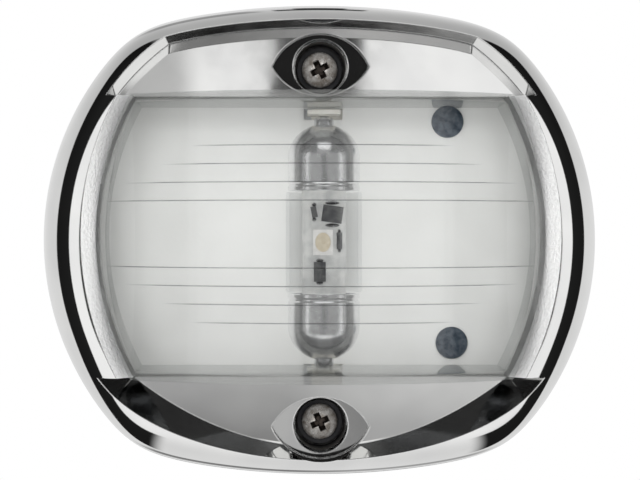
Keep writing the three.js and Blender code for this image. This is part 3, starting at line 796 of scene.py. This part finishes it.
def build_rivet(side):
    node = f"rivet_{side}"
    centre = node_centre(node)
    low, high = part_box(node)
    head = node_size(node).x / 2
    front, back = -low[1] / MM, -high[1] / MM
    shank, head_back = 1.2, front - 0.8
    profile = [(0.01, back), (shank, back), (shank, head_back),
               (head - 0.05, head_back), (head, head_back + 0.15), (head, front - 0.28),
               (head - 0.08, front - 0.1), (head - 0.3, front - 0.02), (head * 0.5, front), (0.01, front)]
    rings = lathe(profile, SCREW_SIDES, about_depth(centre.x, centre.z))
    body = add_object(f"terminal_{node}", *loft(rings), [MATERIALS["rivet"]])
    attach(body, "base")
    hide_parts(node)


def build_bulb_glass():
    size = node_size("bulb_glass")
    outer, end = size.x / 2, size.z / 2
    wall, lip = 0.5, 0.15
    inner = outer - wall
    profile = [(inner, -end + lip), (inner + lip, -end), (outer - lip, -end), (outer, -end + lip),
               (outer, end - lip), (outer - lip, end), (inner + lip, end), (inner, end - lip)]
    rings = lathe(profile, ROUND_SIDES, about_z(BULB))
    body = add_object("bulb_tube", *loft(rings, closed=True), [MATERIALS["glass"]])
    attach(body, "bulb")
    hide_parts("bulb_glass")


def build_bulb_cap(side):
    """A metal end of the bulb: a grooved skirt over the glass, then a dome down to a small nose."""
    node = f"bulb_cap_{side}"
    low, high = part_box(node)
    sign = 1 if side == "upper" else -1
    mouth, tip = sorted(abs(end[2] / MM - BULB.z) for end in (low, high))
    radius, skirt_wall, plug, shoulder = 5.1, 0.5, 11.5, 12.0
    nose, nose_start, groove, dome_steps = 1.4, 16.6, 0.14, 24
    profile = [(0.01, plug), (radius - skirt_wall, plug), (radius - skirt_wall, mouth),
               (radius - 0.08, mouth), (radius, mouth + 0.1), (radius, mouth + 0.55),
               (radius - groove, mouth + 0.75), (radius - groove, mouth + 1.0), (radius, mouth + 1.2)]
    reach = math.acos(nose / radius)
    height = (nose_start - shoulder) / math.sin(reach)
    for step in range(dome_steps + 1):
        angle = reach * step / dome_steps
        profile.append((radius * math.cos(angle), shoulder + height * math.sin(angle)))
    profile += [(nose, tip - 0.7), (nose * 0.9, tip - 0.35), (nose * 0.6, tip - 0.08), (0.01, tip)]
    rings = lathe([(r, sign * h) for r, h in profile], ROUND_SIDES, about_z(BULB))
    body = add_object(f"bulb_end_{side}", *loft(rings), [MATERIALS["nickel"]])
    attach(body, "bulb")
    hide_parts(node)


BOARD_PARTS = ("board_regulator", "board_diode", "board_resistor", "board_capacitor")


def build_solder():
    """Small solder fillets above and below the parts on the board."""
    lift, gap, width_share, half_height, rise = 0.03, 0.2, 0.32, 0.28, 0.35
    levels, count = 9, 20
    board_front = -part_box("bulb_board")[0][1] / MM
    for number, (node, side) in enumerate((part, side) for part in BOARD_PARTS for side in (-1, 1)):
        centre, size = node_centre(node), node_size(node)
        middle_z = centre.z + side * (size.z / 2 + gap)
        turns = [2 * math.pi * step / count for step in range(count)]
        rings = []
        for level in range(levels):
            angle = math.pi / 2 * level / levels
            spread, depth = math.cos(angle), board_front + lift + rise * math.sin(angle)
            rings.append([(centre.x + size.x * width_share * spread * math.cos(a), -depth,
                           middle_z + half_height * spread * math.sin(a)) for a in turns])
        body = add_object(f"solder_{number + 1}", *loft(rings), [MATERIALS["solder"]])
        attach(body, "bulb")


# ---- Materials for the CAD pieces that stay ----

NODE_MATERIALS = {
    "rubber": ("hull_gasket", "cover_seal", "cable_grommet", "lens_gasket", "screw_seal_upper",
               "screw_seal_lower"),
    "base": ("base_plate",),
    "liner": ("reflector",),
    "brass": ("contact_upper", "contact_lower", "terminal_upper", "terminal_lower",
              "screw_insert_upper", "screw_insert_lower"),
    "board": ("bulb_board",),
    "led": ("led_package",),
    "phosphor": ("led_phosphor",),
    "component": BOARD_PARTS,
}


def dress_nodes():
    for material, nodes in NODE_MATERIALS.items():
        for node in nodes:
            materials = frame["nodes"][node].data.materials
            materials.clear()
            materials.append(MATERIALS[material])


# ---- Studio ----

# The tent's numbers. A pair is where a smooth step starts and ends, and a pair of pairs is a band
# with such a step at each side. Tilts are in degrees, the others in parts of the direction's length.
TENT_LEVEL, BACK_LOSS, TOP_LOSS = 0.98, -0.22, -0.3
BACK_TILT, TOP_Z = (60, 125), (0.0, 0.8)
GAP_START, GAP_END, GAP_SOFT, GAP_LOSS = 60.0, 114.0, 3.0, -0.985
GAP_SIDENESS = (0.3, 0.42)
LOW_Z, LOW_START_SHIFT, LOW_END_SHIFT = (-0.75, -0.3), 26.0, 50.0
CORNER_SIDENESS, CORNER_Z, CORNER_SHIFT = ((0.3, 0.6), (0.8, 1.0)), (-0.25, -0.05), -32.0
HOLE_FOOT = (-0.067, -0.063)
HOLE_Z, HOLE_X, HOLE_TILT = (HOLE_FOOT, (0.19, 0.22)), (0.14, 0.18), (30, 40)
LENS_PASSES, LENS_TILT, LENS_Z, LENS_LOSS = (3.2, 3.8), (46, 58), (0.4, 0.6), -0.78
LEDGE_X, UPPER_Z, LOWER_Z = (0.15, 0.25), ((0.3, 0.31), (0.46, 0.5)), ((-0.5, -0.46), (-0.31, -0.3))
LEFT_X, LEFT_LOSS = (-0.046, -0.028), -0.48
STRIP_X, STRIP_EDGE, STRIP_LOSS = 0.016, (0.0185, 0.021), -0.95
FLARE_Z, FLARE = (0.384, 0.394), -0.02
RIGHT_X, RIGHT_GAIN, LOWER_LOSS = (-0.01, 0.05), 0.2, -0.54
DEEP_Z, DEEP_LOSS = (-0.395, -0.365), -0.22
EYE_Z, EYE_X = ((-0.16, -0.13), HOLE_FOOT), (0.08, 0.1)
EYE_RIGHT_X, EYE_RIGHT_LOSS, EYE_LOSS = (0.01, 0.03), -0.25, -0.5


class Tent(Nodes):
    """A white light tent with dark places, painted by direction and seen only in reflections.

    x and z are the direction's parts to the right and up. tilt is its angle in degrees from straight
    out of the object's front, and sideness runs from 0 above and below to 1 at the two sides.
    """

    def __init__(self, tree):
        super().__init__(tree)
        direction = self.add("ShaderNodeTexCoord").outputs["Generated"]
        self.x, y, self.z = self.add("ShaderNodeSeparateXYZ", Vector=direction).outputs
        self.tilt = self.times(self.calc("ARCCOSINE", self.times(y, -1.0)), 180 / math.pi)
        across = self.calc("SQRT", self.calc("SUBTRACT", 1.0001, self.times(y, y)))
        self.sideness = self.calc("DIVIDE", self.size(self.x), across)
        self.path = self.add("ShaderNodeLightPath").outputs

    def times(self, *values):
        product = values[0]
        for value in values[1:]:
            product = self.calc("MULTIPLY", product, value)
        return product

    def blend(self, share, slope, base):
        return self.calc("MULTIPLY_ADD", share, slope, base)

    def size(self, value):
        return self.calc("ABSOLUTE", value)

    def rise(self, value, start, end):
        """From 0 at start to 1 at end, smoothly."""
        return self.ramp(value, 0.0, 1.0, start, end, "SMOOTHSTEP")

    def fall(self, value, start, end):
        """From 1 at start to 0 at end, smoothly."""
        return self.calc("SUBTRACT", 1.0, self.rise(value, start, end))

    def band(self, value, start, end):
        """1 between two smooth steps and 0 outside them."""
        return self.times(self.rise(value, *start), self.fall(value, *end))

    def change(self, level, share, part):
        """The level, changed by a part of itself where the share is 1."""
        return self.times(level, self.blend(share, part, 1.0))

    def side_gaps(self):
        """The tent's open sides: wider toward the upper corners, further round low down."""
        low = self.fall(self.z, *LOW_Z)
        corner = self.times(self.band(self.sideness, *CORNER_SIDENESS), self.rise(self.z, *CORNER_Z))
        start = self.blend(low, LOW_START_SHIFT, self.blend(corner, CORNER_SHIFT, GAP_START))
        end = self.blend(low, LOW_END_SHIFT, GAP_END)
        return self.times(self.rise(self.calc("SUBTRACT", self.tilt, start), 0.0, GAP_SOFT),
                          self.fall(self.calc("SUBTRACT", self.tilt, end), 0.0, GAP_SOFT),
                          self.rise(self.sideness, *GAP_SIDENESS))

    def front_hole(self):
        return self.times(self.band(self.z, *HOLE_Z), self.fall(self.size(self.x), *HOLE_X),
                          self.fall(self.tilt, *HOLE_TILT))

    def tent(self):
        """The tent's own light, weaker at the back and weakest high up there, less its dark places."""
        loss = self.blend(self.rise(self.z, *TOP_Z), TOP_LOSS, BACK_LOSS)
        lit = self.calc("ADD", self.times(self.rise(self.tilt, *BACK_TILT), loss), TENT_LEVEL)
        return self.change(lit, self.calc("MAXIMUM", self.side_gaps(), self.front_hole()), GAP_LOSS)

    def inside_lens(self, level):
        """Weaker reflections in things that are met through the lens."""
        passes = self.rise(self.path["Transparent Depth"], *LENS_PASSES)
        front = self.times(self.fall(self.tilt, *LENS_TILT), self.fall(self.size(self.z), *LENS_Z))
        return self.change(level, self.times(passes, self.path["Is Glossy Ray"], front), LENS_LOSS)

    def in_upper_ledge(self, level):
        """A dimmer left part, and a dark strip that flares at its top."""
        zone = self.times(self.band(self.z, *UPPER_Z), self.fall(self.size(self.x), *LEDGE_X))
        level = self.change(level, self.times(zone, self.fall(self.x, *LEFT_X)), LEFT_LOSS)
        aside = self.size(self.calc("SUBTRACT", self.x, STRIP_X))
        edge = self.calc("ADD", aside, self.times(self.rise(self.z, *FLARE_Z), FLARE))
        return self.change(level, self.times(zone, self.fall(edge, *STRIP_EDGE)), STRIP_LOSS)

    def in_lower_ledge(self, level):
        """A dim zone, less so at its right and more so deep down."""
        zone = self.times(self.band(self.z, *LOWER_Z), self.fall(self.size(self.x), *LEDGE_X))
        loss = self.blend(self.rise(self.x, *RIGHT_X), RIGHT_GAIN, LOWER_LOSS)
        loss = self.blend(self.fall(self.z, *DEEP_Z), DEEP_LOSS, loss)
        return self.change(level, zone, loss)

    def in_eyes(self, level):
        """A dim zone that the flats round the screws reflect."""
        zone = self.times(self.band(self.z, *EYE_Z), self.fall(self.size(self.x), *EYE_X))
        loss = self.blend(self.rise(self.x, *EYE_RIGHT_X), EYE_RIGHT_LOSS, EYE_LOSS)
        return self.change(level, zone, loss)


def build_world():
    world = bpy.data.worlds.new("studio")
    bpy.context.scene.world = world
    world.use_nodes = True
    tent = Tent(world.node_tree)
    level = tent.inside_lens(tent.tent())
    for place in (tent.in_upper_ledge, tent.in_lower_ledge, tent.in_eyes):
        level = place(level)
    background = tent.tree.nodes["Background"].inputs
    tent.feed(background["Strength"], tent.calc("MAXIMUM", level, tent.path["Is Camera Ray"]))
    background["Color"].default_value = opaque((1.0, 1.0, 1.0))


def soften_bulb():
    """Keeps the bulb's pieces from shading the panel close behind them, as broad light would not."""
    for obj in bpy.context.scene.objects:
        if obj.name.startswith(("bulb_", "board_", "led_", "contact_")):
            obj.visible_shadow = False


def build_floor():
    half, below = 1.4, 0.3
    mesh = bpy.data.meshes.new("floor")
    corners = [(-half, -half, -below), (half, -half, -below), (half, half, -below), (-half, half, -below)]
    mesh.from_pydata(corners, [], [(0, 1, 2, 3)])
    floor = bpy.data.objects.new("floor", mesh)
    bpy.context.scene.collection.objects.link(floor)
    mesh.materials.append(plain("floor_paper", (0.9, 0.9, 0.895), (0.87, 0.87, 0.865), 0.8, 0, 2, 0.05, 60))
    floor.visible_glossy = False


def point_at(obj, target):
    obj.rotation_euler = (Vector(target) - obj.location).to_track_quat("-Z", "Y").to_euler()


def build_light(name, place, width, height, energy):
    """A broad soft light that points at the object and shows in no mirror."""
    data = bpy.data.lights.new(name, "AREA")
    data.shape = "RECTANGLE"
    data.size, data.size_y = width, height
    data.energy = energy
    light = bpy.data.objects.new(name, data)
    light.location = place
    light.visible_glossy = False
    light.visible_camera = False
    point_at(light, (0, 0, 0))
    bpy.context.scene.collection.objects.link(light)


def build_camera():
    """A camera almost straight in front, a little left of the middle and above it."""
    distance, left, above = 0.35, 0.0056, 0.002
    frame_width = 0.0941
    aim = (0.0001, -0.008, 0.0)
    data = bpy.data.cameras.new("camera")
    camera = bpy.data.objects.new("camera", data)
    data.sensor_width = 36
    data.lens = data.sensor_width * distance / frame_width
    data.clip_start = 0.01
    camera.location = (-left, -distance, above)
    point_at(camera, aim)
    bpy.context.scene.collection.objects.link(camera)
    bpy.context.scene.camera = camera


bpy.context.scene.view_settings.view_transform = "Standard"
build_camera()
build_world()
build_floor()
build_light("softbox", (-0.03, -0.75, 0.06), width=0.5, height=0.35, energy=4.4)
build_light("overhead", (0, 0, 1.8), width=2.0, height=2.0, energy=22.0)
dress_nodes()
build_housing()
build_lens()
for side in ("upper", "lower"):
    build_screw(side)
    build_rivet(side)
    build_bulb_cap(side)
build_bulb_glass()
build_solder()
soften_bulb()
